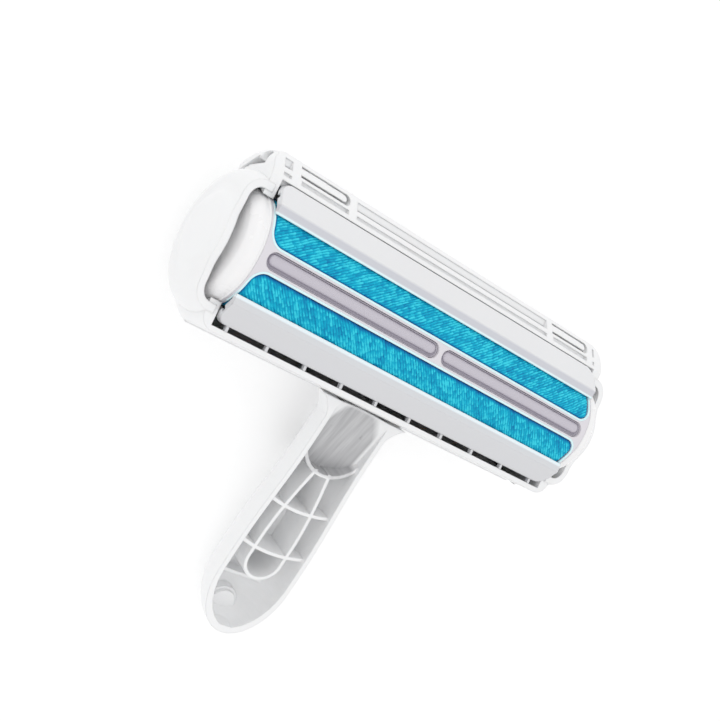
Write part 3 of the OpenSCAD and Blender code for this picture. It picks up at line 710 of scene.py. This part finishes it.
# Blue nylon pile: what the fibres and the slanting bands measure along and across the rows, in mm, how
# much each part adds to the level from which the colour is picked, and where the inner colours stand.
FIBRE_DEPTH_MM = 0.12
FIBRE_MM = (2.4, 0.3)
BAND_MM = (9, 3)
LEVEL_START = -0.66
LEVEL_PER_TIP = 0.95
LEVEL_PER_FIBRE = 0.9
LEVEL_PER_BAND = 0.9
LEVEL_PER_OUTWARD = 0.16
PILE_COLOURS = ("002434", "0064A6", "008EBC", "00B0D2", "3AD6EA")
PILE_STOPS = (0.22, 0.5, 0.78)


def woven_pile(name):
    """Blue nylon pile: painted shade in a deep colour between the tufts and a painted sheen on their tips,
    a deeper blue towards the rib, broad slanting bands where the nap leans more or less, and fine streaks
    of single fibres along the rows. The level is the sum of these and picks the colour; painted shade
    lowers it at the edges, most at the edge that faces the front."""
    material = new_material(name)
    nap = add(material, "UVMap", uv_map="nap_mm").outputs[0]
    tip, edge_shade, outward = (add(material, "Attribute", attribute_name=key).outputs["Fac"]
                            for key in ("tip", "edge_shade", "outward"))
    fibres = stretched_noise(material, nap, FIBRE_MM, detail=3)
    bands = stretched_noise(material, nap, BAND_MM, detail=2)
    # Painted light: the level rises with the tufts' height, so the pile is darker between the tufts and
    # brighter on their tips.
    level = LEVEL_START
    for source, weight in ((tip, LEVEL_PER_TIP), (fibres, LEVEL_PER_FIBRE), (bands, LEVEL_PER_BAND),
                           (outward, LEVEL_PER_OUTWARD)):
        level = add(material, "Math", {0: source, 1: weight, 2: level},
                    operation="MULTIPLY_ADD").outputs[0]
    # Painted shade: the level drops along the strip's edges.
    inside = add(material, "Math", {0: level, 1: edge_shade}, operation="MULTIPLY", use_clamp=True)
    ramp = add(material, "ValToRGB", {"Fac": inside.outputs[0]})
    stops = ramp.color_ramp.elements
    stops[0].color, stops[1].color = linear(PILE_COLOURS[0]), linear(PILE_COLOURS[-1])
    for place, colour in zip(PILE_STOPS, PILE_COLOURS[1:-1]):
        stops.new(place).color = linear(colour)
    bump = add(material, "Bump", {
        "Height": fibres, "Distance": FIBRE_DEPTH_MM * 0.001, "Strength": 0.8})
    shader = add(material, "BsdfPrincipled", {
        "Base Color": ramp.outputs["Color"], "Roughness": 0.72, "Normal": bump.outputs["Normal"],
        "Specular IOR Level": 0.2, "Sheen Weight": 0.04, "Sheen Roughness": 0.4,
        "Sheen Tint": linear("9FE8FF")})
    add(material, "OutputMaterial", {"Surface": shader.outputs[0]})
    return material


pile_blue = woven_pile("woven_nylon_pile_blue_painted_light")
for name, side, row_angle, seed, node in PILE_STRIPS:
    pile = pile_strip(name, side, row_angle, seed, pile_blue)
    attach(pile, "drum")
    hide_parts(node)

# Window rims: the frame's edges round the pile are drawn up into a fine rounded bead, moulded in one
# with the frame in the same ABS; its near-white cyan colour is a painted highlight along the edge, with
# a painted reflection of the pile below it. The bead runs outside the window's edge, sunk into the
# drum's surface, and stops before the window's far end.
RIM_WIRE = 0.5
RIM_OUT = 0.36
RIM_SUNK = 0.2
RIM_SHORT = 2.4
RIM_BEND_POINTS = 13
RIM_SIDE_POINTS = 88


def window_rim(name, side, material):
    """The window's outline in plan, two straight ends, two quarter circles and the long side by the
    rib, lifted onto the drum's surface."""
    half, inner = WINDOW_HALF + RIM_OUT, RIB_HALF - RIM_OUT
    corner = WINDOW_CORNER + RIM_OUT
    outer = DRUM_R * math.sin(WINDOW_END) - RIM_SHORT
    turn = np.linspace(0, math.pi / 2, RIM_BEND_POINTS)
    end_y = np.linspace(outer, inner + corner, RIM_BEND_POINTS, endpoint=False)
    side_x = np.linspace(-half + corner, half - corner, RIM_SIDE_POINTS + 2)[1:-1]
    x = np.concatenate([np.full_like(end_y, -half), -half + corner - corner * np.cos(turn), side_x,
                        half - corner + corner * np.sin(turn), np.full_like(end_y, half)])
    y = np.concatenate([end_y, inner + corner - corner * np.sin(turn), np.full_like(side_x, inner),
                        inner + corner - corner * np.cos(turn), end_y[::-1]])
    z = np.sqrt((DRUM_R - RIM_SUNK) ** 2 - y ** 2)
    return tube(name, np.stack([x, side * y, z], -1), RIM_WIRE, material)


# Painted highlight: the bead's near-white cyan, with the pile's blue painted in as a reflection.
rim_painted_highlight = moulded_plastic("window_rim_painted_highlight", "DEFCFF", roughness=0.2, edge_mm=0.1)
for name, side in (("front_window_rim", 1), ("back_window_rim", -1)):
    rim = window_rim(name, side, rim_painted_highlight)
    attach(rim, "drum")
